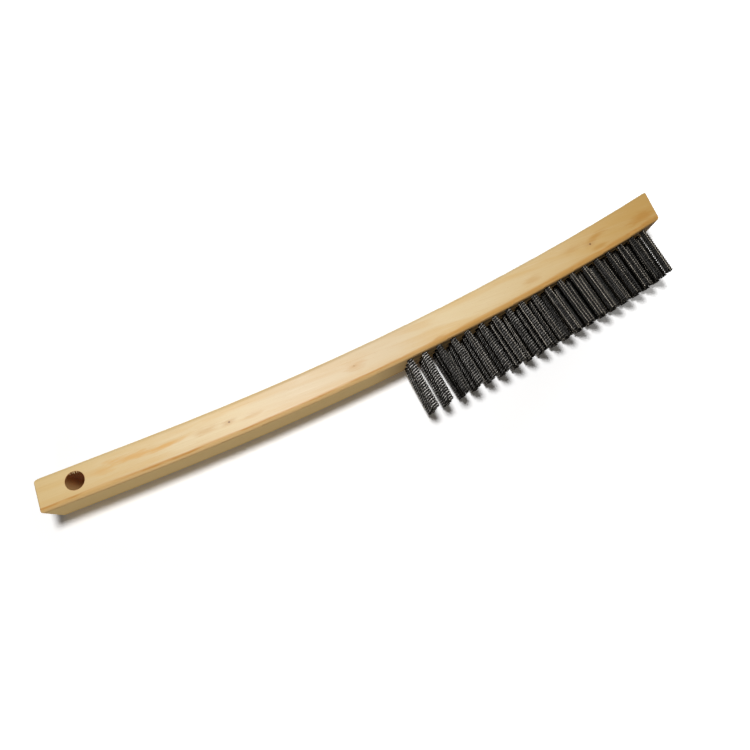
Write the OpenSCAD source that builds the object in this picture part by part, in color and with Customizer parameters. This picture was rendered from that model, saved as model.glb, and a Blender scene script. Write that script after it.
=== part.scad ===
// Curved-handle wire scratch brush, lying on its side.
// One bowed hardwood block carries three rows of wire tufts. Each tuft is a bundle of
// crimped wires folded in half round a flat anchor that bites into the walls of its hole.
// Millimetres, +Z up, +X towards the toe, the tufts point towards -Y.

/* [Block] */
// Length of the block, from the handle end to the toe
block_len = 351; // [300:1:420]
// Width of the block, which is its height as it lies on its side
block_w = 22.2; // [19:0.1:30]
// Thickness of the block at the handle end
grip_t = 16.4; // [13.5:0.1:20]
// Thickness of the block at the toe, along its end
head_t = 18.6; // [15:0.1:22]
// Radius of the rounded long edges
edge_r = 2.2; // [0.6:0.1:3]
// Radius of the eased edges round the two end faces
end_ease = 0.6; // [0.2:0.1:1.2]
// Radius of the handle end's corner on the back
heel_corner_r = 2.6; // [0.5:0.1:4]
// Radius of the block's other three upright corners
corner_r = 0.9; // [0.3:0.1:2]
// Angle by which the toe's end leans out towards the back
toe_lean = 4.3; // [0:0.1:8]

/* [Bow] */
// Length of the straight stretch of the bristle side, from the handle end
grip_straight = 43; // [30:1:90]
// Radius of the bowed bristle face
face_r = 1573; // [1200:1:2400]
// Length of the straight stretch of the back, from the handle end
back_straight = 49; // [35:0.5:70]
// Angle at which the straight back runs away from the bristle side
back_taper = 0.4; // [0.1:0.05:1]

/* [Hanging hole] */
// Diameter of the hole through the handle
hang_d = 8.9; // [5:0.1:10]
// Distance of the hole's centre from the handle end
hang_inset = 17.4; // [10:0.1:30]
// How far the hole's centre lies off the middle of the handle, towards the back
hang_shift = 0.5; // [-2:0.1:2]

/* [Tufts] */
// Number of tufts along each row
columns = 19; // [4:1:19]
// Distance between two tufts of a row, along the bristle face
column_pitch = 8.69; // [6.5:0.01:9]
// Distance between two rows
row_pitch = 6.3; // [5.5:0.05:7]
// Distance from the toe to the last tuft, along the bristle face
toe_margin = 10.6; // [7:0.1:20]
// Length of the wires that stands out of the wood
trim_len = 28.2; // [18:0.2:40]
// How far the outer rows tilt away from the middle row, in degrees
row_splay = 1; // [0:0.25:4]
// How far the tufts at the toe sweep back towards the handle, in degrees
toe_sweep = 8; // [0:0.5:10]
// Diameter of a tuft where it leaves its hole
root_d = 3.3; // [2.6:0.05:3.6]
// Diameter of a tuft at its tips
tip_d = 4.8; // [3.8:0.05:5.2]
// Distance over which a tuft swells to most of its full width
swell_len = 5; // [3:0.1:8]

/* [Holes and anchors] */
// Depth of the tuft holes
hole_depth = 11.4; // [9:0.1:12.5]
// Gap all round a tuft in its hole
seat_gap = 0.05; // [0.03:0.01:0.1]
// Thickness of the flat anchor wire
anchor_t = 0.5; // [0.3:0.05:0.8]
// Height of the flat anchor wire, along the hole
anchor_h = 1.9; // [1.2:0.1:2.6]
// How far each end of an anchor bites into the wood
anchor_bite = 0.55; // [0.3:0.05:0.9]
// Gap all round an anchor in the wood and in the tuft
anchor_gap = 0.03; // [0.02:0.01:0.08]

/* [Hidden] */
ROWS = ["upper", "middle", "lower"];
function two_digits(n) = n < 10 ? str("0", n) : str(n);
function tuft_name(row, column) = str("tuft_", ROWS[row], "_", two_digits(column + 1));

wood = "#e2c48c";
steel = "#3b3a39";
zinc = "#9a9a96";

// Smoothness of round profiles and of the two long bows
round_fn = 64;
bow_fn = 720;
// Overlap of cutting shapes past what they cut
over = 30;
// Depth of the slabs that the block is cut from, and how far an end's cut reaches to each side
slab = 3 * head_t;
end_reach = block_len;
// How far an easing circle stands proud of the corner it rounds, so that it cuts cleanly
proud = 0.01;

// Bristle side of the block, in plan: straight, then bowed up to the toe
face_centre = [grip_straight, face_r];
toe_angle = asin((block_len - grip_straight) / face_r);
toe_front = face_centre + face_r * [sin(toe_angle), -cos(toe_angle)];
toe_back = toe_front + head_t * [sin(toe_lean), cos(toe_lean)];

// Back of the block, in plan: straight, then one bow that is tangent to it and runs up to the toe's
// back corner. The bow's rise and run are taken along and across the straight stretch.
back_along = [cos(back_taper), sin(back_taper)];
back_across = [-sin(back_taper), cos(back_taper)];
bow_run = (toe_back - [0, grip_t]) * back_along - back_straight;
bow_rise = (toe_back - [0, grip_t]) * back_across;
back_r = (bow_run ^ 2 + bow_rise ^ 2) / (2 * bow_rise);
back_turn = asin(bow_run / back_r);
toe_back_angle = back_taper + back_turn;

// Where the centre of an upright corner's easing lies, with the angles at which its faces run away
function corner_centre(corner, from, to, radius) =
    corner + [cos((from + to) / 2), sin((from + to) / 2)] * (radius / sin((to - from) / 2) - proud);
toe_back_centre = corner_centre(toe_back, 180 + toe_back_angle, 270 - toe_lean, corner_r);

// Tufts stand square to the bowed face at the heel, and towards the toe they sweep back
// more and more
full_turn = 360;
function along_face(length) = length * full_turn / (2 * PI * face_r);
function column_angle(column) =
    toe_angle - along_face(toe_margin + (columns - 1 - column) * column_pitch);
sweep_power = 3;
function tuft_sweep(column) = toe_sweep * pow(column / (columns - 1), sweep_power);
function row_side(row) = 1 - row;

// A tuft does most of its swelling close to the wood
swell_share = 0.75;
swell_d = root_d + swell_share * (tip_d - root_d);

// Tuft holes and anchors
hole_d = root_d + 2 * seat_gap;
anchor_len = hole_d + 2 * anchor_bite;
anchor_depth = hole_depth - seat_gap - root_d / 2 - anchor_h;
stem_bottom = hole_depth - seat_gap;

// The origin is the centre of the brush's underside
first_angle = column_angle(0);
last_angle = column_angle(columns - 1);
last_tuft_angle = last_angle - toe_sweep;
lowest_y = min(0, face_r - (face_r + trim_len) * cos(first_angle) - tip_d / 2 * sin(first_angle));
furthest_x = max(
    toe_back_centre.x + corner_r,
    grip_straight + face_r * sin(last_angle) + trim_len * sin(last_tuft_angle)
        + tip_d / 2 * cos(last_tuft_angle)
);
highest_y = toe_back_centre.y + corner_r;
middle = [furthest_x / 2, (highest_y + lowest_y) / 2, 0];

// Section of a slab with its two outer edges rounded: the surface is at x = 0
module eased_section(depth, radius) {
    translate([radius, 0]) square([depth - radius, block_w]);
    translate([0, radius]) square([depth, block_w - 2 * radius]);
    for (height = [radius, block_w - radius])
        translate([radius, height]) circle(radius, $fn = round_fn);
}

// Everything behind the bristle face
module face_side() {
    translate([-over, 0, 0]) rotate([90, 0, 90])
        linear_extrude(over + grip_straight) eased_section(slab, edge_r);
    translate([face_centre.x, face_centre.y, 0]) rotate([0, 0, -90])
        rotate_extrude(angle = toe_angle + along_face(over), $fn = bow_fn)
            translate([face_r, 0]) mirror([1, 0]) eased_section(slab, edge_r);
}

// Everything in front of the back
module back_side() {
    translate([0, grip_t, 0]) rotate([0, 0, back_taper]) {
        translate([-over, 0, 0]) rotate([90, 0, 90])
            linear_extrude(over + back_straight) mirror([1, 0]) eased_section(slab, edge_r);
        translate([back_straight, back_r, 0]) rotate([0, 0, -90])
            rotate_extrude(angle = back_turn + along_face(over), $fn = bow_fn)
                translate([back_r, 0]) eased_section(slab, edge_r);
    }
}

// Everything on the inner side of an end face that passes through a point and leans by an angle
module inside_end(point, lean, side) {
    translate([point.x, point.y, 0]) rotate([0, 0, lean]) translate([0, end_reach, 0])
        rotate([90, 0, 0]) linear_extrude(2 * end_reach)
            mirror([side, 0]) eased_section(block_len + 2 * over, end_ease);
}

// What comes off an upright corner whose two faces run away at the angles from and to
module corner_waste(corner, from, to, radius) {
    centre = corner_centre(corner, from, to, radius);
    leg = norm(centre - corner) * cos((to - from) / 2);
    translate([0, 0, -over]) linear_extrude(block_w + 2 * over) difference() {
        polygon([
            2 * corner - centre,
            corner + leg * [cos(from), sin(from)],
            centre,
            corner + leg * [cos(to), sin(to)]
        ]);
        translate(centre) circle(radius, $fn = round_fn);
    }
}

// Bowed and rounded blank, before any hole is drilled
module blank() {
    difference() {
        intersection() {
            intersection() {
                face_side();
                inside_end([0, 0], 0, 0);
            }
            intersection() {
                back_side();
                inside_end(toe_front, -toe_lean, 1);
            }
        }
        corner_waste([0, 0], 0, 90, corner_r);
        corner_waste([0, grip_t], -90, back_taper, heel_corner_r);
        corner_waste(toe_front, 90 - toe_lean, 180 + toe_angle, corner_r);
        corner_waste(toe_back, 180 + toe_back_angle, 270 - toe_lean, corner_r);
    }
}

// Puts its children at a tuft's mouth: +Z runs out of the hole and +X along the row
module at_tuft(row, column) {
    translate([face_centre.x, face_centre.y, block_w / 2 + row_side(row) * row_pitch])
        rotate([0, 0, column_angle(column)]) translate([0, -face_r, 0])
            rotate([90 - row_side(row) * row_splay, 0, -tuft_sweep(column)]) children();
}

module at_each_tuft() {
    for (row = [0 : len(ROWS) - 1])
        for (column = [0 : columns - 1])
            at_tuft(row, column) children();
}

// Blind hole for a tuft, with the two tracks that its anchor cuts on its way in
module tuft_hole() {
    translate([0, 0, -hole_depth]) cylinder(d = hole_d, h = hole_depth + over, $fn = round_fn);
    anchor_slot(anchor_len + 2 * anchor_gap, over + anchor_depth);
}

// Slot that clears an anchor, from its lower edge up over the given height
module anchor_slot(length, height) {
    translate([-length / 2, -anchor_t / 2 - anchor_gap, -anchor_depth - anchor_h - anchor_gap])
        cube([length, anchor_t + 2 * anchor_gap, anchor_h + 2 * anchor_gap + height]);
}

module block() {
    color(wood) difference() {
        blank();
        at_each_tuft() tuft_hole();
        translate([hang_inset, (grip_t + hang_inset * tan(back_taper)) / 2 + hang_shift, -over])
            cylinder(d = hang_d, h = block_w + 2 * over, $fn = round_fn);
    }
}

// Flat wire anchors, one across the bottom of each hole
module anchors() {
    color(zinc) at_each_tuft()
        translate([-anchor_len / 2, -anchor_t / 2, -anchor_depth - anchor_h])
            cube([anchor_len, anchor_t, anchor_h]);
}

// Bundle of folded wires: a stem in the hole, with the fold at its bottom, and a swelling brush
module tuft(row, column) {
    color(steel) at_tuft(row, column) difference() {
        union() {
            translate([0, 0, root_d / 2 - stem_bottom]) {
                sphere(d = root_d, $fn = round_fn);
                cylinder(d = root_d, h = stem_bottom - root_d / 2, $fn = round_fn);
            }
            cylinder(d1 = root_d, d2 = swell_d, h = swell_len, $fn = round_fn);
            translate([0, 0, swell_len])
                cylinder(d1 = swell_d, d2 = tip_d, h = trim_len - swell_len, $fn = round_fn);
        }
        anchor_slot(hole_d + over, 0);
    }
}

translate(-middle) {
    block();
    anchors();
    for (row = [0 : len(ROWS) - 1])
        for (column = [0 : columns - 1])
            tuft(row, column);
}
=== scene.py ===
import math
import random

import bpy
from mathutils import Matrix, Vector


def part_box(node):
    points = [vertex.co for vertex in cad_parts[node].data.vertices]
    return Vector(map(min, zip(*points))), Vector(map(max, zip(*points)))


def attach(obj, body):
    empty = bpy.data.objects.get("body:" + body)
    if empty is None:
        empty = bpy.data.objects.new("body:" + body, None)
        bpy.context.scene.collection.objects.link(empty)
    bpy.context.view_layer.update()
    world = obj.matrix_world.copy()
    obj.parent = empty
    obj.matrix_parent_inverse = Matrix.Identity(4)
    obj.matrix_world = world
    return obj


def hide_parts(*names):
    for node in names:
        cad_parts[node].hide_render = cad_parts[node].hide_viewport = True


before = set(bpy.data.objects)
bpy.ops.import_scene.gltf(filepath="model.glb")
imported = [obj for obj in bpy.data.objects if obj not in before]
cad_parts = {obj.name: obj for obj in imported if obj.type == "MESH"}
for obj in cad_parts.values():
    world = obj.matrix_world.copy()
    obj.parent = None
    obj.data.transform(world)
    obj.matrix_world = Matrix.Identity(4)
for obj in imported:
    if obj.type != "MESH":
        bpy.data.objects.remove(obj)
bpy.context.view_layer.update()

MM = 0.001

# ---------------------------------------------------------------- sizes of the brush, in millimetres

# The workshop's own frame: x runs from the handle end to the toe, y across to the back, and z up
BLOCK_LOW, BLOCK_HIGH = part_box("block")
BLOCK_W = (BLOCK_HIGH.z - BLOCK_LOW.z) / MM
GRIP_STRAIGHT = 43.0
FACE_R = 1573.0
TOE_X = 351.0

# The tufts' pattern, and the shape of one tuft; splay and sweep are in degrees
ROWS = ("upper", "middle", "lower")
COLUMNS = 19
COLUMN_PITCH = 8.69
ROW_PITCH = 6.3
TOE_MARGIN = 10.6
TRIM_LEN = 28.2
ROW_SPLAY = 1.0
TOE_SWEEP = 8.0
ROOT_D = 3.3
TIP_D = 4.8

# The hanging hole
HANG_D = 8.9
HANG_X = 17.4
HANG_Y = 8.76


def workshop(x, y, z=0.0):
    """A point of the workshop's frame, given in millimetres, in the scene's frame in metres."""
    return Vector((BLOCK_LOW.x + x * MM, BLOCK_LOW.y + y * MM, z * MM))


# ---------------------------------------------------------------- modelling helpers

def deselect_all():
    """Leaves edit mode and lets go of everything."""
    if bpy.context.object and bpy.context.object.mode != "OBJECT":
        bpy.ops.object.mode_set(mode="OBJECT")
    bpy.ops.object.select_all(action="DESELECT")


def pick(pieces):
    """Selects these pieces alone, with the first one active."""
    deselect_all()
    for piece in pieces:
        piece.select_set(True)
    bpy.context.view_layer.objects.active = pieces[0]


def apply_place(piece):
    """Puts a piece's place into its mesh, with its object at the origin."""
    pick([piece])
    bpy.ops.object.transform_apply(location=True, rotation=True, scale=True)


def own_copy(model, name):
    """A copy of a piece with a mesh of its own."""
    copy = model.copy()
    copy.data = model.data.copy()
    copy.name = name
    copy.data.name = name
    bpy.context.scene.collection.objects.link(copy)
    return copy


def give_value(piece, name, value):
    """Gives every point of a piece one value, which its material reads by name."""
    for point in piece.data.attributes.new(name, "FLOAT", "POINT").data:
        point.value = value


def start_rod(sides, radius, x=0.0, z=0.0):
    """The closed foot of a rod, in edit mode and selected, ready to be drawn out."""
    deselect_all()
    bpy.ops.mesh.primitive_circle_add(vertices=sides, radius=radius * MM, fill_type="NGON",
                                      location=(x * MM, 0.0, z * MM))
    rod = bpy.context.object
    bpy.ops.object.mode_set(mode="EDIT")
    bpy.ops.mesh.select_all(action="SELECT")
    return rod


def draw_out(across, up):
    """Draws the end of a rod out to a new end, so far across and so far up."""
    bpy.ops.mesh.extrude_region_move(TRANSFORM_OT_translate={"value": (across * MM, 0.0, up * MM)})


def widen(share, x, z):
    """Makes the end of a rod wider or narrower, about its middle at x and z."""
    bpy.ops.transform.resize(value=(share, share, 1.0), center_override=(x * MM, 0.0, z * MM))


def finish_rod(rod):
    """Turns a rod's faces outwards and puts its place into its mesh."""
    bpy.ops.mesh.select_all(action="SELECT")
    bpy.ops.mesh.normals_make_consistent(inside=False)
    bpy.ops.object.mode_set(mode="OBJECT")
    apply_place(rod)


# ---------------------------------------------------------------- node helpers

def linear(red, green, blue):
    """A colour given as 8-bit display values, as the linear colour that a shader takes."""
    def straighten(value):
        value = value / 255.0
        return value / 12.92 if value <= 0.04045 else ((value + 0.055) / 1.055) ** 2.4
    return (straighten(red), straighten(green), straighten(blue), 1.0)


def add_node(tree, kind, **links):
    """Adds a node and links its inputs, each by its name."""
    node = tree.nodes.new(kind)
    for name, socket in links.items():
        tree.links.new(socket, node.inputs[name])
    return node


def calc(tree, operation, first, second=0.0, clamp=False):
    """One step of arithmetic on numbers or sockets."""
    node = tree.nodes.new("ShaderNodeMath")
    node.operation = operation
    node.use_clamp = clamp
    for index, value in enumerate((first, second)):
        if isinstance(value, (int, float)):
            node.inputs[index].default_value = value
        else:
            tree.links.new(value, node.inputs[index])
    return node.outputs[0]


def both(tree, first, second):
    """The mask where two masks meet."""
    return calc(tree, "MULTIPLY", first, second)


def vector_calc(tree, operation, vector, other=(0.0, 0.0, 0.0)):
    """One step of arithmetic on a vector; a length or a dot product comes out as a number."""
    node = tree.nodes.new("ShaderNodeVectorMath")
    node.operation = operation
    tree.links.new(vector, node.inputs[0])
    node.inputs[1].default_value = other
    return node.outputs["Value" if operation in ("LENGTH", "DOT_PRODUCT") else "Vector"]


def fade(tree, value, start, end):
    """A mask that runs smoothly from 0 where the value is start to 1 where it is end."""
    node = add_node(tree, "ShaderNodeMapRange", Value=value)
    node.interpolation_type = "SMOOTHSTEP"
    node.inputs["From Min"].default_value = start
    node.inputs["From Max"].default_value = end
    return node.outputs["Result"]


def stretched(tree, place, scale, turn=0.0, shift=(0.0, 0.0, 0.0)):
    """The place scaled along each axis, turned by degrees and shifted, for a pattern to lie on."""
    node = add_node(tree, "ShaderNodeMapping", Vector=place)
    node.inputs["Location"].default_value = shift
    node.inputs["Rotation"].default_value = (0.0, 0.0, math.radians(turn))
    node.inputs["Scale"].default_value = scale
    return node.outputs["Vector"]


def paint_over(tree, under, colour, mask, strength=1.0):
    """Paints a colour over what lies under it, where the mask says."""
    node = tree.nodes.new("ShaderNodeMix")
    node.data_type = "RGBA"
    factor, low, high = node.inputs[0], node.inputs[6], node.inputs[7]
    tree.links.new(calc(tree, "MULTIPLY", mask, strength), factor)
    for socket, value in ((low, under), (high, colour)):
        if isinstance(value, tuple):
            socket.default_value = value
        else:
            tree.links.new(value, socket)
    return node.outputs[2]


def spot(tree, place, ragged, centre, half_size, turn, soft, rag):
    """A soft oval mark in plan: 1 at its centre, 0 outside, with an edge roughened by a noise."""
    moved = vector_calc(tree, "SUBTRACT", place, (centre[0], centre[1], 0.0))
    turned = stretched(tree, moved, (1.0, 1.0, 1.0), -turn)
    shrunk = vector_calc(tree, "MULTIPLY", turned, (1.0 / half_size[0], 1.0 / half_size[1], 0.0))
    roughened = calc(tree, "MULTIPLY", calc(tree, "SUBTRACT", ragged, 0.5), rag)
    reach = calc(tree, "ADD", vector_calc(tree, "LENGTH", shrunk), roughened)
    return fade(tree, reach, 1.0, 1.0 - soft)


def mottle_group():
    """A shared effect: the small uneven patches of a worked surface, as a mask from 0 to 1."""
    group = bpy.data.node_groups.new("mottle", "ShaderNodeTree")
    group.interface.new_socket("Scale", in_out="INPUT", socket_type="NodeSocketFloat")
    group.interface.new_socket("Detail", in_out="INPUT", socket_type="NodeSocketFloat")
    group.interface.new_socket("Mask", in_out="OUTPUT", socket_type="NodeSocketFloat")
    given = group.nodes.new("NodeGroupInput")
    result = group.nodes.new("NodeGroupOutput")
    place = group.nodes.new("ShaderNodeTexCoord").outputs["Object"]
    pattern = add_node(group, "ShaderNodeTexNoise", Vector=place,
                       Scale=given.outputs["Scale"], Detail=given.outputs["Detail"])
    group.links.new(pattern.outputs["Fac"], result.inputs["Mask"])
    return group


def mottle(tree, scale, detail):
    """Places the shared mottle in a material and gives its mask."""
    node = tree.nodes.new("ShaderNodeGroup")
    node.node_tree = bpy.data.node_groups.get("mottle") or mottle_group()
    node.inputs["Scale"].default_value = scale
    node.inputs["Detail"].default_value = detail
    return node.outputs["Mask"]


def new_material(name):
    """A material with a Principled shader, and its node tree."""
    material = bpy.data.materials.new(name)
    material.use_nodes = True
    tree = material.node_tree
    tree.nodes.clear()
    out = tree.nodes.new("ShaderNodeOutputMaterial")
    shader = tree.nodes.new("ShaderNodeBsdfPrincipled")
    tree.links.new(shader.outputs["BSDF"], out.inputs["Surface"])
    return material, tree, shader


# ---------------------------------------------------------------- camera, light and ground

BLACK = (0.0, 0.0, 0.0, 1.0)
WHITE = (1.0, 1.0, 1.0, 1.0)

CAMERA_PLACE = Vector((-0.05194, -0.07785, 0.27758))
CAMERA_TARGET = Vector((-0.0072, -0.0031, 0.0))
CAMERA_ROLL = 8.7
CAMERA_LENS = 25.67
CAMERA_SENSOR = 36.0

# Lamps that point at the middle of the brush: name, place, width, power in watts, and colour
LAMPS = (
    ("back_lamp", (-0.05, 0.11, 0.62), 0.14, 3.45, (1.0, 0.985, 0.96)),
    ("front_lamp", (-0.25, -0.86, 0.11), 0.3, 2.2, (1.0, 0.93, 0.8)),
)
SURROUND_COLOUR = (1.0, 0.93, 0.84, 1.0)
SURROUND_STRENGTH = 0.07

FLOOR_SIZE = 6.0
FLOOR_DROP = 0.00005
# The floor's colour in the light that it throws on the brush, and half its colour for the camera
FLOOR_GIVEN = (0.28, 0.265, 0.24, 1.0)
FLOOR_SEEN = (0.57, 0.578, 0.595, 1.0)
# The oval round the brush outside which the floor fades to white: its shape, shift, start and end
OVAL_STRETCH = (0.55, 1.0, 1.0)
OVAL_SHIFT = (0.022, 0.0, 0.0)
OVAL_START = 0.07
OVAL_END = 0.2


def aim_camera():
    """A camera at about 30 cm, looking down on the brush, turned a little about its line of sight."""
    data = bpy.data.cameras.new("camera")
    data.sensor_width = CAMERA_SENSOR
    data.lens = CAMERA_LENS
    data.clip_start = 0.01
    camera = bpy.data.objects.new("camera", data)
    bpy.context.scene.collection.objects.link(camera)
    level = (CAMERA_TARGET - CAMERA_PLACE).to_track_quat("-Z", "Y").to_matrix().to_4x4()
    roll = Matrix.Rotation(math.radians(CAMERA_ROLL), 4, "Z")
    camera.matrix_world = Matrix.Translation(CAMERA_PLACE) @ level @ roll
    bpy.context.scene.camera = camera
    bpy.context.scene.view_settings.view_transform = "Standard"


def area_lamp(name, place, size, power, colour):
    """A round lamp that points at the middle of the brush."""
    data = bpy.data.lights.new(name, "AREA")
    data.shape = "DISK"
    data.size = size
    data.energy = power
    data.color = colour
    lamp = bpy.data.objects.new(name, data)
    bpy.context.scene.collection.objects.link(lamp)
    lamp.location = place
    lamp.rotation_mode = "QUATERNION"
    lamp.rotation_quaternion = (-Vector(place)).to_track_quat("-Z", "Y")


def seen_or_given(tree, out, seen, given):
    """Shows the camera one shader, and lights the brush with another."""
    path = tree.nodes.new("ShaderNodeLightPath")
    mix = add_node(tree, "ShaderNodeMixShader", Fac=path.outputs["Is Camera Ray"])
    tree.links.new(given, mix.inputs[1])
    tree.links.new(seen, mix.inputs[2])
    tree.links.new(mix.outputs[0], out.inputs["Surface"])


def background(tree, colour, strength):
    """One plain colour of the surround."""
    node = tree.nodes.new("ShaderNodeBackground")
    node.inputs["Color"].default_value = colour
    node.inputs["Strength"].default_value = strength
    return node.outputs[0]


def light_studio():
    """A soft lamp above and a little behind, a low weak one in front, and a dim even surround."""
    for lamp in LAMPS:
        area_lamp(*lamp)
    world = bpy.data.worlds.new("surround")
    bpy.context.scene.world = world
    world.use_nodes = True
    tree = world.node_tree
    tree.nodes.clear()
    out = tree.nodes.new("ShaderNodeOutputWorld")
    seen_or_given(tree, out, background(tree, WHITE, 1.0),
                  background(tree, SURROUND_COLOUR, SURROUND_STRENGTH))


def add_shaders(tree, first, second):
    """The sum of two shaders."""
    node = tree.nodes.new("ShaderNodeAddShader")
    tree.links.new(first, node.inputs[0])
    tree.links.new(second, node.inputs[1])
    return node.outputs[0]


def flat_paint(tree, colour):
    """A plain matt colour."""
    node = tree.nodes.new("ShaderNodeBsdfDiffuse")
    node.inputs["Color"].default_value = colour
    return node.outputs[0]


def pale_table():
    """A pale table top, white away from the brush, that keeps the brush's shadow."""
    material = bpy.data.materials.new("pale_table")
    material.use_nodes = True
    tree = material.node_tree
    tree.nodes.clear()
    out = tree.nodes.new("ShaderNodeOutputMaterial")
    seen_half = flat_paint(tree, FLOOR_SEEN)
    place = tree.nodes.new("ShaderNodeTexCoord").outputs["Object"]
    away = vector_calc(tree, "LENGTH", stretched(tree, place, OVAL_STRETCH, shift=OVAL_SHIFT))
    far = fade(tree, away, OVAL_START, OVAL_END)
    lift = add_node(tree, "ShaderNodeEmission", Color=paint_over(tree, BLACK, WHITE, far))
    seen = add_shaders(tree, add_shaders(tree, seen_half, seen_half), lift.outputs[0])
    seen_or_given(tree, out, seen, flat_paint(tree, FLOOR_GIVEN))
    return material


def lay_floor():
    """A plain pale floor that catches the shadow."""
    deselect_all()
    bpy.ops.mesh.primitive_plane_add(size=FLOOR_SIZE, location=(0.0, 0.0, -FLOOR_DROP))
    floor = bpy.context.object
    floor.name = "floor"
    apply_place(floor)
    floor.data.materials.append(pale_table())


# ---------------------------------------------------------------- wire tufts

WIRE_D = 0.42
WIRE_SIDES = 3
CRIMP_PITCH = 1.35
CRIMP_DEPTH = 0.5
# How much of its crimps a wire keeps where the hole grips it
ROOT_CRIMP = 0.35
# Round a ring the crimps climb like a thread with two starts, each wire off it by a little chance
HELIX_STARTS = -2
PHASE_SLIP = 0.05
# Rings of wires in a tuft: wires in the ring, and how far out it lies as a share of the tuft's radius
WIRE_RINGS = ((21, 1.0), (13, 0.66), (6, 0.34))
WIRE_CLEARANCE = 0.02
# Chance in how a wire stands, with its turn and lean in radians and its fray in millimetres
TURN_CHANCE = 0.09
LEAN_CHANCE = (-0.006, 0.001)
TIP_FRAY = 0.3
# One wire in so many of the outer ring has a painted highlight streak along its whole length, by so much
STREAK_STEP = 6
STREAK_CHANCE = (0.5, 1.0)

# A tuft reaches this share of its swelling at this height above the wood
SWELL_LEN = 5.0
SWELL_SHARE = 0.75

# A tuft's core of packed wires: its sides, its share of the tuft's radius, its foot, the heights
# where it changes, and the angle, in degrees, up to which its edges are smoothed
CORE_SIDES = 10
CORE_SHARE = 0.7
CORE_FOOT = -7.6
CORE_LEVELS = (-0.5, 2.0, SWELL_LEN, 14.0, TRIM_LEN - 1.6)
CORE_SMOOTH = 40

# Tufts that lean more than the rest, in degrees towards the toe, by row and column
SET_LEANS = {(1, 2): 2.0, (2, 2): 2.0, (0, 1): -1.0, (0, 18): -0.4, (1, 18): 0.2, (2, 18): -0.5}
CHANCE_LEAN = 0.7
TUFT_KINDS = 4
TUFT_SEED = 19

# Painted highlight on the crests, strongest on the first columns where the light falls: at the first
# column, its drop to the next, its least, and its chance share
SHINE_FIRST = 0.86
SHINE_DROP = 0.07
SHINE_LEAST = 0.07
SHINE_CHANCE = (0.8, 1.2)
# Columns whose painted crest highlights are duller or brighter than the run of the others
SHINE_SHARES = {2: 0.3, 3: 0.75, 4: 0.8, 5: 0.75, 9: 1.2, 10: 1.2, 14: 1.4, 17: 0.7, 18: 0.7}
# The painted highlight streaks show more from column to column, up to this one
STREAK_HIGHLIGHT_COLUMNS = 9.0
STREAK_HIGHLIGHT_CHANCE = (0.2, 0.9)


def swell(height):
    """How far a tuft has swollen at a height above the wood, from 0 at the wood to 1 at the tips."""
    if height <= 0.0:
        return 0.0
    if height < SWELL_LEN:
        return SWELL_SHARE * height / SWELL_LEN
    return SWELL_SHARE + (1.0 - SWELL_SHARE) * min((height - SWELL_LEN) / (TRIM_LEN - SWELL_LEN), 1.0)


def crimp(height):
    """Half the depth of a wire's crimps, which are squeezed flatter where the hole grips them."""
    return CRIMP_DEPTH / 2 * (ROOT_CRIMP + (1.0 - ROOT_CRIMP) * min(swell(height) / SWELL_SHARE, 1.0))


def ring_radius(share, height):
    """Distance of a ring's wires from the tuft's axis, in millimetres."""
    outside = ROOT_D / 2 + (TIP_D - ROOT_D) / 2 * swell(height)
    return share * (outside - WIRE_D / 2 - crimp(height) - WIRE_CLEARANCE)


def crimped_wire(share):
    """One crimped wire at its ring's distance from the axis, longer than needed at both ends."""
    start = -2 * CRIMP_PITCH
    height, out, side = start, ring_radius(share, start), 1.0
    wire = start_rod(WIRE_SIDES, WIRE_D / 2, out, start)
    while height < TRIM_LEN + 2 * CRIMP_PITCH:
        new_height = height + CRIMP_PITCH / 2
        new_out = ring_radius(share, new_height) + side * crimp(new_height)
        draw_out(new_out - out, new_height - height)
        height, out, side = new_height, new_out, -side
    finish_rod(wire)
    bpy.ops.object.shade_smooth()
    crest = wire.data.attributes.new("crest", "FLOAT", "POINT")
    for index, vertex in enumerate(wire.data.vertices):
        bend = round((vertex.co.z / MM - start) / (CRIMP_PITCH / 2))
        crest.data[index].value = float(bend % 2)
    return wire


def trim(wire, height):
    """Cuts a wire off square at a height and closes its end."""
    pick([wire])
    bpy.ops.object.mode_set(mode="EDIT")
    bpy.ops.mesh.select_all(action="SELECT")
    bpy.ops.mesh.bisect(plane_co=(0.0, 0.0, height * MM), plane_no=(0.0, 0.0, 1.0),
                        use_fill=True, clear_outer=True)
    bpy.ops.object.mode_set(mode="OBJECT")


def tuft_core():
    """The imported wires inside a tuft: a dark stem that runs down into the hole."""
    height, width = CORE_FOOT, CORE_SHARE * ROOT_D / 2
    core = start_rod(CORE_SIDES, width, 0.0, height)
    for new_height in CORE_LEVELS:
        new_width = CORE_SHARE * ring_radius(1.0, new_height)
        draw_out(0.0, new_height - height)
        widen(new_width / width, 0.0, new_height)
        height, width = new_height, new_width
    finish_rod(core)
    bpy.ops.object.shade_smooth_by_angle(angle=math.radians(CORE_SMOOTH))
    return core


def set_wire(wire, outer, index, angle, chance):
    """A copy of a ring's wire, turned to its place in the ring and trimmed to length."""
    copy = own_copy(wire, "wire_copy")
    sink = (HELIX_STARTS * angle / math.tau) % 1.0 * CRIMP_PITCH + chance.uniform(0.0, PHASE_SLIP)
    lean = chance.uniform(*LEAN_CHANCE)
    copy.matrix_world = (Matrix.Rotation(angle, 4, "Z") @ Matrix.Rotation(lean, 4, "Y")
                         @ Matrix.Translation((0.0, 0.0, -sink * MM)))
    apply_place(copy)
    trim(copy, TRIM_LEN - chance.uniform(0.0, TIP_FRAY))
    # A few outer wires get a painted highlight streak along their length
    streaked = outer and index % STREAK_STEP == 0
    give_value(copy, "streak", chance.uniform(*STREAK_CHANCE) if streaked else 0.0)
    return copy


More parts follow.
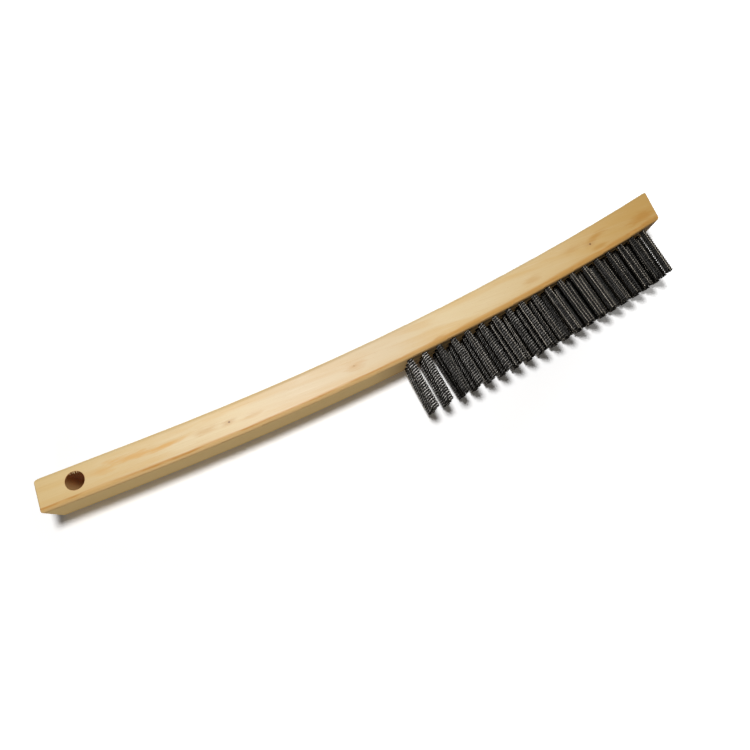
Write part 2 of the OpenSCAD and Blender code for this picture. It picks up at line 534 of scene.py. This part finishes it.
def tuft_kind(number, wires, core, chance):
    """A whole tuft standing on the origin: its core and its rings of crimped wires, joined."""
    parts = [own_copy(core, "core_copy")]
    for (count, share), wire in zip(WIRE_RINGS, wires):
        turn = chance.uniform(0.0, math.tau)
        for index in range(count):
            angle = turn + math.tau * index / count + chance.uniform(-TURN_CHANCE, TURN_CHANCE)
            parts.append(set_wire(wire, share == 1.0, index, angle, chance))
    pick(parts)
    bpy.ops.object.join()
    tuft = bpy.context.object
    tuft.name = "tuft_kind_" + str(number)
    apply_place(tuft)
    return tuft


def tuft_frame(row, column):
    """A tuft's own frame: +Z runs out of its hole, and its origin lies on the bristle face."""
    toe_angle = math.asin((TOE_X - GRIP_STRAIGHT) / FACE_R)
    back_from_toe = TOE_MARGIN + (COLUMNS - 1 - column) * COLUMN_PITCH
    angle = toe_angle - back_from_toe / FACE_R
    sweep = math.radians(TOE_SWEEP) * (column / (COLUMNS - 1)) ** 3
    side = 1 - row
    centre = workshop(GRIP_STRAIGHT, FACE_R, BLOCK_W / 2 + side * ROW_PITCH)
    return (Matrix.Translation(centre) @ Matrix.Rotation(angle, 4, "Z")
            @ Matrix.Translation((0.0, -FACE_R * MM, 0.0))
            @ Matrix.Rotation(-sweep, 4, "Z")
            @ Matrix.Rotation(math.pi / 2 - side * math.radians(ROW_SPLAY), 4, "X"))


def set_tuft(row, column, kind, chance):
    """Sets a copy of a kind of tuft in its hole, with a lean of its own and its own strength of painted
    highlight.
    """
    place = ROWS[row] + "_" + format(column + 1, "02d")
    tuft = own_copy(kind, "wires_" + place)
    spin = Matrix.Rotation(chance.uniform(0.0, math.tau), 4, "Z")
    lean = SET_LEANS.get((row, column), 0.0) + chance.uniform(-CHANCE_LEAN, CHANCE_LEAN)
    tilt = Matrix.Rotation(math.radians(lean), 4, "Y")
    tuft.matrix_world = tuft_frame(row, column) @ tilt @ spin
    apply_place(tuft)
    run = max(SHINE_LEAST, SHINE_FIRST - SHINE_DROP * column)
    shine = run * SHINE_SHARES.get(column, 1.0) * chance.uniform(*SHINE_CHANCE)
    give_value(tuft, "crest_highlight_share", shine)
    # The painted highlight streaks grow towards the toe
    give_value(tuft, "streak_highlight_share", min(1.0, column / STREAK_HIGHLIGHT_COLUMNS) * chance.uniform(*STREAK_HIGHLIGHT_CHANCE))
    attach(tuft, "root")
    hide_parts("tuft_" + place)


def set_tufts(material):
    """Models a few kinds of tuft and sets a copy of one in each hole."""
    chance = random.Random(TUFT_SEED)
    wires = [crimped_wire(share) for _, share in WIRE_RINGS]
    core = tuft_core()
    kinds = [tuft_kind(number, wires, core, chance) for number in range(TUFT_KINDS)]
    for kind in kinds:
        kind.data.materials.clear()
        kind.data.materials.append(material)
    for row in range(len(ROWS)):
        for column in range(COLUMNS):
            set_tuft(row, column, chance.choice(kinds), chance)
    for model in wires + [core] + kinds:
        bpy.data.objects.remove(model)


# ---------------------------------------------------------------- materials of the wires

STEEL_DARK = (0.006, 0.0058, 0.0055, 1.0)
STEEL_WORKED = (0.022, 0.021, 0.02, 1.0)
# Painted highlight streak along a few wires
STEEL_STREAK_HIGHLIGHT = (0.78, 0.71, 0.6, 1.0)
# Painted highlight on the crimps' crests
STEEL_CREST = (0.95, 0.93, 0.9, 1.0)
# How bright a painted highlight streak stays between its wire's crests
STREAK_HIGHLIGHT_HOLLOW = 0.35
ZINC_DULL = (0.42, 0.42, 0.41, 1.0)
ZINC_PALE = (0.62, 0.62, 0.61, 1.0)


def read_value(tree, name):
    """The value of that name that a piece's points hold."""
    node = tree.nodes.new("ShaderNodeAttribute")
    node.attribute_name = name
    return node.outputs["Fac"]


def tempered_wire():
    """Dark tempered steel wire, with painted highlights on the crests of its crimps and painted highlight
    streaks along a few wires.
    """
    material, tree, shader = new_material("tempered_wire")
    crest = read_value(tree, "crest")
    patches = mottle(tree, scale=700.0, detail=2.0)
    # Painted highlights on the crests, as strong as each tuft's share and broken by the patches
    crest_highlight = both(tree, fade(tree, crest, 0.6, 1.0), read_value(tree, "crest_highlight_share"))
    crest_highlight = both(tree, crest_highlight, fade(tree, patches, 0.25, 0.6))
    ridges = calc(tree, "ADD", STREAK_HIGHLIGHT_HOLLOW, calc(tree, "MULTIPLY", crest, 1.0 - STREAK_HIGHLIGHT_HOLLOW))
    # Painted highlight streaks along a few wires, brightest on the crests
    streak_highlight = both(tree, both(tree, read_value(tree, "streak"), read_value(tree, "streak_highlight_share")), ridges)
    colour = paint_over(tree, STEEL_DARK, STEEL_WORKED, patches)
    colour = paint_over(tree, colour, STEEL_STREAK_HIGHLIGHT, streak_highlight)
    colour = paint_over(tree, colour, STEEL_CREST, crest_highlight)
    tree.links.new(colour, shader.inputs["Base Color"])
    shader.inputs["Metallic"].default_value = 0.6
    shader.inputs["Roughness"].default_value = 0.4
    shader.inputs["Specular IOR Level"].default_value = 0.3
    return material


def galvanised_wire():
    """Dull grey zinc-coated wire with uneven patches."""
    material, tree, shader = new_material("galvanised_wire")
    colour = paint_over(tree, ZINC_DULL, ZINC_PALE, mottle(tree, scale=1400.0, detail=3.0))
    tree.links.new(colour, shader.inputs["Base Color"])
    shader.inputs["Metallic"].default_value = 1.0
    shader.inputs["Roughness"].default_value = 0.45
    return material


# ---------------------------------------------------------------- hardwood

# Ground colours
CREAM = linear(228, 206, 162)
STRAW = linear(222, 190, 134)
PALE_CREAM = linear(234, 215, 178)
HANDLE_YELLOW = linear(220, 188, 124)
HEAD_YELLOW = linear(214, 176, 108)
TOE_HONEY = linear(202, 158, 80)
MIDDLE_BUFF = linear(213, 190, 155)
FACE_SIDE_TAN = linear(216, 182, 124)
# Painted light: the walls that face the bristles and the back are painted paler than the lamps alone
# would show them
WALL_PAINTED_LIGHT = linear(252, 222, 160)

# Colours of the grain
LINE_BROWN = linear(205, 166, 108)
LINE_CREAM = linear(240, 226, 198)
FIBRE_BROWN = linear(196, 158, 104)
FLECK_BROWN = linear(178, 136, 84)

# Colours of the marks
STREAK_ORANGE = linear(220, 168, 88)
PATCH_AMBER = linear(200, 150, 76)
KNOT_HALO = linear(196, 150, 88)
KNOT_HEART = linear(118, 76, 40)

# Colours of the rim, the bristle face, the bore, the ends and the torn fibres
RIM_TAN = linear(212, 170, 106)
RIM_GOLD = linear(204, 152, 74)
RIM_AMBER = linear(190, 130, 50)
# Partly dust, partly painted shade on the bristle face between the tufts
FACE_DUST_AND_SHADE = linear(140, 98, 56)
BORE_RED = linear(214, 138, 70)
BORE_BROWN = linear(150, 86, 36)
# Painted light on the side of the bore that the light falls on
BORE_PAINTED_LIGHT = linear(244, 204, 140)
END_TAN = linear(214, 176, 120)
END_BROWN = linear(176, 132, 78)
TORN_CREAM = linear(240, 222, 178)
TORN_TAN = linear(214, 182, 124)

# The wood's noises: scale for each millimetre on each axis, detail, roughness, distortion, shift
GRAINS = {
    "broad": ((0.016, 0.16, 0.16), 3.0, 0.5, 0.3, (0.0, 0.0, 0.0)),
    "clouds": ((0.05, 0.22, 0.22), 3.0, 0.55, 0.4, (7.0, 3.0, 1.0)),
    "lines": ((0.035, 2.6, 2.6), 4.0, 0.62, 0.2, (0.0, 0.0, 0.0)),
    "fine": ((0.16, 9.0, 9.0), 3.0, 0.6, 0.0, (0.0, 0.0, 0.0)),
    "flecks": ((0.9, 7.0, 7.0), 1.0, 0.5, 0.0, (0.0, 0.0, 0.0)),
    "ragged": ((0.12, 0.8, 0.8), 4.0, 0.6, 0.5, (0.0, 0.0, 0.0)),
    "waves": ((0.045, 0.3, 0.3), 3.0, 0.6, 0.0, (3.0, 0.0, 0.0)),
    "drilled": ((1.6, 1.6, 3.0), 4.0, 0.6, 0.0, (0.0, 0.0, 0.0)),
    "pores": ((5.0, 5.0, 5.0), 2.0, 0.5, 0.0, (0.0, 0.0, 0.0)),
}

# Colours that come in along the block: where a colour starts, where it is full, and its strength
ALONG_BLOCK = (
    (HANDLE_YELLOW, 70.0, 0.0, 0.65),
    (HEAD_YELLOW, 215.0, 330.0, 0.75),
    (TOE_HONEY, 286.0, 352.0, 0.62),
)

# Marks in the wood, in the workshop's plan in millimetres: centre, half size, turn, strength
ORANGE_STREAKS = (
    ((44.0, 10.0), (17.0, 2.4), -3.0, 0.75),
    ((60.0, 9.0), (12.0, 1.7), 2.0, 0.85),
    ((30.0, 8.6), (9.0, 2.6), -6.0, 0.5),
)
AMBER_PATCHES = (
    ((203.0, 10.6), (6.5, 1.3), 8.0, 0.7),
    ((264.0, 22.5), (8.0, 3.2), 9.0, 0.4),
    ((294.0, 31.0), (10.0, 2.6), 11.0, 0.4),
    ((310.0, 33.4), (11.0, 2.6), 14.0, 0.8),
    ((309.5, 27.0), (8.0, 2.2), 10.0, 0.7),
    ((341.0, 35.0), (14.0, 4.2), 12.0, 0.95),
    ((344.0, 30.5), (10.0, 2.4), 12.0, 0.8),
    ((158.0, 12.4), (8.0, 3.6), 4.0, 0.45),
    ((79.3, 8.6), (9.0, 2.2), 2.0, 0.4),
    ((102.6, 7.8), (8.0, 1.8), 3.0, 0.35),
)
# Pin knots: centre and radius
PIN_KNOTS = (
    ((91.0, 8.6), 0.75),
    ((157.4, 12.7), 0.35),
    ((305.1, 30.2), 0.85),
)
# A knot's halo, as shares of its radius, turned by degrees, and its heart's width across the grain
HALO_SIZE = (7.0, 2.6)
HALO_TURN = 6.0
HEART_WIDTH = 0.8

# Where along the block a finish comes in, in millimetres from the handle end: its start and its full
MIDDLE_IN = (85.0, 130.0)
MIDDLE_OUT = (215.0, 175.0)
GOLD_IN = (170.0, 215.0)
LINE_WEAKER = (150.0, 200.0)
# The dust and painted shade on the bristle face
DUST_AND_SHADE_IN = (160.0, 192.0)
HANDLE_END = (1.0, 0.4)
TOE_END = (340.0, 344.0)

# How far in from the bristle face a finish reaches, in millimetres: its start and its full
TAN_DEPTH = (7.0, 1.0)
BAND_DEPTH = (2.7, 1.8)
GOLD_DEPTH = (3.4, 1.4)
LINE_DEPTH = (1.0, 1.9)
# The dust and painted shade on the bristle face
DUST_AND_SHADE_DEPTH = (0.5, 0.1)

# How far the rim reaches in from the top and the underside, and how far its edge waves
RIM_FADE = (3.4, 1.2)
RIM_WAVE = 2.4
# How far the bore's colour fades into the wood round it
BORE_FADE = (0.12, 0.02)
# The side of the bore towards the handle end and the bristles, where the light falls in, as a direction
# in plan; it is painted paler as painted light
BORE_LIT_SIDE = (-0.75, -0.66, 0.0)

WOOD_ROUGHNESS = 0.4
LINE_ROUGHNESS = 0.22
GRAIN_DEPTH = 0.06 * MM
# The growth lines' share of the grain's height; the fine fibres have the rest
LINE_SHARE = 0.5


def grain(tree, place, name):
    """One of the wood's noises."""
    scale, detail, roughness, distortion, shift = GRAINS[name]
    node = add_node(tree, "ShaderNodeTexNoise", Vector=stretched(tree, place, scale, shift=shift))
    node.inputs["Scale"].default_value = 1.0
    node.inputs["Detail"].default_value = detail
    node.inputs["Roughness"].default_value = roughness
    node.inputs["Distortion"].default_value = distortion
    return node.outputs["Fac"]


def depth_from_face(tree, x, y):
    """How far in from the bristle face a point lies, round the bow."""
    run = calc(tree, "MAXIMUM", calc(tree, "SUBTRACT", x, GRIP_STRAIGHT), 0.0)
    rise = calc(tree, "SUBTRACT", FACE_R, y)
    squares = calc(tree, "ADD", calc(tree, "MULTIPLY", run, run), calc(tree, "MULTIPLY", rise, rise))
    return calc(tree, "SUBTRACT", FACE_R, calc(tree, "SQRT", squares))


class WoodPlace:
    """Where a point of the block lies, which way it faces, and the grain there."""

    def __init__(self, tree):
        raw = tree.nodes.new("ShaderNodeTexCoord").outputs["Object"]
        self.mm = stretched(tree, raw, (1 / MM, 1 / MM, 1 / MM),
                            shift=(-BLOCK_LOW.x / MM, -BLOCK_LOW.y / MM, 0.0))
        self.x, self.y, self.z = add_node(tree, "ShaderNodeSeparateXYZ", Vector=self.mm).outputs
        normal = tree.nodes.new("ShaderNodeNewGeometry").outputs["Normal"]
        facing = add_node(tree, "ShaderNodeSeparateXYZ", Vector=normal)
        self.to_end = calc(tree, "ABSOLUTE", facing.outputs["X"])
        self.to_wall = calc(tree, "ABSOLUTE", facing.outputs["Y"])
        self.depth = depth_from_face(tree, self.x, self.y)
        self.lines = grain(tree, self.mm, "lines")
        self.fine = grain(tree, self.mm, "fine")
        self.ragged = grain(tree, self.mm, "ragged")


def ground_colour(tree, wood):
    """Cream, duller in the middle, yellow at the handle end, honey at the toe, and painted paler on the
    walls as painted light.
    """
    broad = grain(tree, wood.mm, "broad")
    clouds = grain(tree, wood.mm, "clouds")
    colour = paint_over(tree, CREAM, STRAW, fade(tree, broad, 0.42, 0.66))
    colour = paint_over(tree, colour, PALE_CREAM, fade(tree, clouds, 0.5, 0.8), 0.45)
    for shade, start, full, strength in ALONG_BLOCK:
        colour = paint_over(tree, colour, shade, fade(tree, wood.x, start, full), strength)
    middle = both(tree, fade(tree, wood.x, *MIDDLE_IN), fade(tree, wood.x, *MIDDLE_OUT))
    colour = paint_over(tree, colour, MIDDLE_BUFF, middle, 0.55)
    colour = paint_over(tree, colour, FACE_SIDE_TAN, fade(tree, wood.depth, *TAN_DEPTH), 0.45)
    # Painted light on the walls, by which way the surface faces
    return paint_over(tree, colour, WALL_PAINTED_LIGHT, fade(tree, wood.to_wall, 0.5, 0.9), 0.85)


def growth_lines(tree, wood, colour):
    """Dark and pale growth lines, fine fibres and short flecks."""
    flecks = grain(tree, wood.mm, "flecks")
    colour = paint_over(tree, colour, LINE_BROWN, fade(tree, wood.lines, 0.56, 0.72), 0.34)
    colour = paint_over(tree, colour, LINE_CREAM, fade(tree, wood.lines, 0.42, 0.3), 0.2)
    colour = paint_over(tree, colour, FIBRE_BROWN, fade(tree, wood.fine, 0.58, 0.74), 0.25)
    return paint_over(tree, colour, FLECK_BROWN, fade(tree, flecks, 0.7, 0.78), 0.4)


def wood_marks(tree, wood, colour):
    """The orange streaks near the handle end, the amber patches and the pin knots."""
    for centre, half_size, turn, strength in ORANGE_STREAKS:
        mark = spot(tree, wood.mm, wood.ragged, centre, half_size, turn, soft=0.9, rag=1.6)
        colour = paint_over(tree, colour, STREAK_ORANGE, mark, strength)
    for centre, half_size, turn, strength in AMBER_PATCHES:
        mark = spot(tree, wood.mm, wood.ragged, centre, half_size, turn, soft=0.9, rag=1.4)
        colour = paint_over(tree, colour, PATCH_AMBER, mark, strength)
    for centre, radius in PIN_KNOTS:
        halo_size = (radius * HALO_SIZE[0], radius * HALO_SIZE[1])
        halo = spot(tree, wood.mm, wood.ragged, centre, halo_size, HALO_TURN, soft=1.0, rag=0.8)
        colour = paint_over(tree, colour, KNOT_HALO, halo, 0.6)
        heart_size = (radius, radius * HEART_WIDTH)
        heart = spot(tree, wood.mm, wood.ragged, centre, heart_size, 0.0, soft=0.6, rag=0.5)
        colour = paint_over(tree, colour, KNOT_HEART, heart, 0.9)
    return colour


def burnished_rim(tree, wood, colour):
    """The rim along the bristle face: a wavy tan band with an amber line, golden over the tufts."""
    from_middle = calc(tree, "ABSOLUTE", calc(tree, "SUBTRACT", wood.z, BLOCK_W / 2))
    rim = fade(tree, from_middle, BLOCK_W / 2 - RIM_FADE[0], BLOCK_W / 2 - RIM_FADE[1])
    waves = grain(tree, wood.mm, "waves")
    wave = calc(tree, "MULTIPLY", calc(tree, "SUBTRACT", waves, 0.5), RIM_WAVE)
    depth = calc(tree, "ADD", wood.depth, wave)
    band = both(tree, fade(tree, depth, *BAND_DEPTH), rim)
    colour = paint_over(tree, colour, RIM_TAN, band, 0.7)
    golden = both(tree, fade(tree, depth, *GOLD_DEPTH), fade(tree, wood.x, *GOLD_IN))
    colour = paint_over(tree, colour, RIM_GOLD, both(tree, golden, rim), 0.6)
    # The amber line comes and goes with the waves, and is weaker over the tufts
    line = both(tree, band, fade(tree, depth, *LINE_DEPTH))
    line = both(tree, line, fade(tree, waves, 0.32, 0.62))
    weakened = calc(tree, "MULTIPLY", fade(tree, wood.x, *LINE_WEAKER), 0.6)
    line = both(tree, line, calc(tree, "SUBTRACT", 1.0, weakened))
    return paint_over(tree, colour, RIM_AMBER, line, 0.95)


def dust_and_shade_face(tree, wood, colour):
    """The bristle face round the tufts, painted brownish: partly dust, partly painted shade between the
    tufts.
    """
    # Partly dust, partly painted shade between the tufts
    face = both(tree, fade(tree, wood.depth, *DUST_AND_SHADE_DEPTH), fade(tree, wood.x, *DUST_AND_SHADE_IN))
    return paint_over(tree, colour, FACE_DUST_AND_SHADE, face, 0.55)


def drilled_bore(tree, wood, colour):
    """The wall of the hanging hole: reddish brown, and painted paler on one side as painted light."""
    plan = add_node(tree, "ShaderNodeCombineXYZ", X=wood.x, Y=wood.y).outputs[0]
    away = vector_calc(tree, "SUBTRACT", plan, (HANG_X, HANG_Y, 0.0))
    from_middle = vector_calc(tree, "LENGTH", away)
    bore = fade(tree, from_middle, HANG_D / 2 + BORE_FADE[0], HANG_D / 2 + BORE_FADE[1])
    drilled = grain(tree, wood.mm, "drilled")
    wall = paint_over(tree, BORE_RED, BORE_BROWN, fade(tree, drilled, 0.35, 0.65))
    # Painted light: the bore is paler on the side where the light falls
    painted_lit_side = fade(tree, vector_calc(tree, "DOT_PRODUCT", away, BORE_LIT_SIDE), 0.0, HANG_D / 2)
    wall = paint_over(tree, wall, BORE_PAINTED_LIGHT, painted_lit_side, 0.8)
    return paint_over(tree, colour, wall, bore, 0.9)


def sawn_ends(tree, wood, colour):
    """End grain, with its pores, on the handle end and the toe."""
    pores = grain(tree, wood.mm, "pores")
    end_colour = paint_over(tree, END_TAN, END_BROWN, fade(tree, pores, 0.45, 0.7))
    at_end = calc(tree, "ADD", fade(tree, wood.x, *HANDLE_END), fade(tree, wood.x, *TOE_END), clamp=True)
    sawn = both(tree, fade(tree, wood.to_end, 0.8, 0.97), at_end)
    return paint_over(tree, colour, end_colour, sawn, 0.7)


def hardwood():
    """Pale close-grained hardwood: cream with golden edges, flecks, streaks, and a honey-coloured toe."""
    material, tree, shader = new_material("hardwood_finish")
    wood = WoodPlace(tree)
    colour = ground_colour(tree, wood)
    for layer in (growth_lines, wood_marks, burnished_rim, dust_and_shade_face, drilled_bore, sawn_ends):
        colour = layer(tree, wood, colour)
    tree.links.new(colour, shader.inputs["Base Color"])
    roughness = calc(tree, "ADD", WOOD_ROUGHNESS, calc(tree, "MULTIPLY", wood.lines, LINE_ROUGHNESS))
    tree.links.new(roughness, shader.inputs["Roughness"])
    height = calc(tree, "ADD", calc(tree, "MULTIPLY", wood.lines, LINE_SHARE),
                  calc(tree, "MULTIPLY", wood.fine, 1.0 - LINE_SHARE))
    bump = add_node(tree, "ShaderNodeBump", Height=height)
    bump.inputs["Distance"].default_value = GRAIN_DEPTH
    bump.inputs["Strength"].default_value = 0.5
    tree.links.new(bump.outputs["Normal"], shader.inputs["Normal"])
    shader.inputs["Coat Weight"].default_value = 0.12
    shader.inputs["Coat Roughness"].default_value = 0.35
    return material


# ---------------------------------------------------------------- torn fibres

# Fibres round the hanging hole's upper rim: angle round the hole, depth under the rim, length, drop
SPLINTERS = (
    (84.0, 0.25, 1.5, 20.0),
    (97.0, 0.45, 1.1, 35.0),
    (69.0, 0.3, 1.2, 28.0),
    (58.0, 0.5, 0.9, 40.0),
    (112.0, 0.35, 0.8, 30.0),
)
# A fibre's foot: its sides, its radius, and how deep it is rooted in the wood
SPLINTER_SIDES = 5
SPLINTER_FOOT = 0.24
SPLINTER_ROOTED = 0.15
# The stages of a fibre: share of its length, share of its foot's width, drift to the side
SPLINTER_STAGES = ((0.3, 0.85, 0.0), (0.65, 0.55, 0.05), (1.0, 0.16, 0.16))


def splinter_model():
    """One torn fibre a millimetre long, which stands on the origin, thins out and curls to a side."""
    fibre = start_rod(SPLINTER_SIDES, SPLINTER_FOOT)
    height, width, drift = 0.0, 1.0, 0.0
    for new_height, new_width, new_drift in SPLINTER_STAGES:
        draw_out(new_drift - drift, new_height - height)
        widen(new_width / width, new_drift, new_height)
        height, width, drift = new_height, new_width, new_drift
    finish_rod(fibre)
    return fibre


def raise_splinters(material):
    """Pale torn fibres that stand off the wall of the hanging hole, just under its rim."""
    top = BLOCK_HIGH.z / MM
    reach = HANG_D / 2 + SPLINTER_ROOTED
    model = splinter_model()
    model.data.materials.append(material)
    for number, (turn, depth, length, drop) in enumerate(SPLINTERS):
        splinter = own_copy(model, "splinter_" + str(number + 1))
        angle = math.radians(turn)
        foot = workshop(HANG_X + reach * math.cos(angle), HANG_Y + reach * math.sin(angle), top - depth)
        inwards = Vector((-math.cos(angle), -math.sin(angle), -math.tan(math.radians(drop))))
        aim = inwards.to_track_quat("Z", "Y").to_matrix().to_4x4()
        stretch = Matrix.Scale(length, 4, (0.0, 0.0, 1.0))
        splinter.matrix_world = Matrix.Translation(foot) @ aim @ stretch
        apply_place(splinter)
        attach(splinter, "root")
    bpy.data.objects.remove(model)


def torn_fibre():
    """Pale fibres of fresh wood with small uneven patches."""
    material, tree, shader = new_material("torn_fibre")
    patches = fade(tree, mottle(tree, scale=2400.0, detail=3.0), 0.4, 0.7)
    tree.links.new(paint_over(tree, TORN_CREAM, TORN_TAN, patches), shader.inputs["Base Color"])
    shader.inputs["Roughness"].default_value = 0.6
    return material


# ---------------------------------------------------------------- the whole brush

def dress_node(name, material):
    """Gives a carried-over solid its finish."""
    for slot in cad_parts[name].material_slots:
        slot.material = material


aim_camera()
light_studio()
lay_floor()
set_tufts(tempered_wire())
dress_node("block", hardwood())
raise_splinters(torn_fibre())
dress_node("anchors", galvanised_wire())
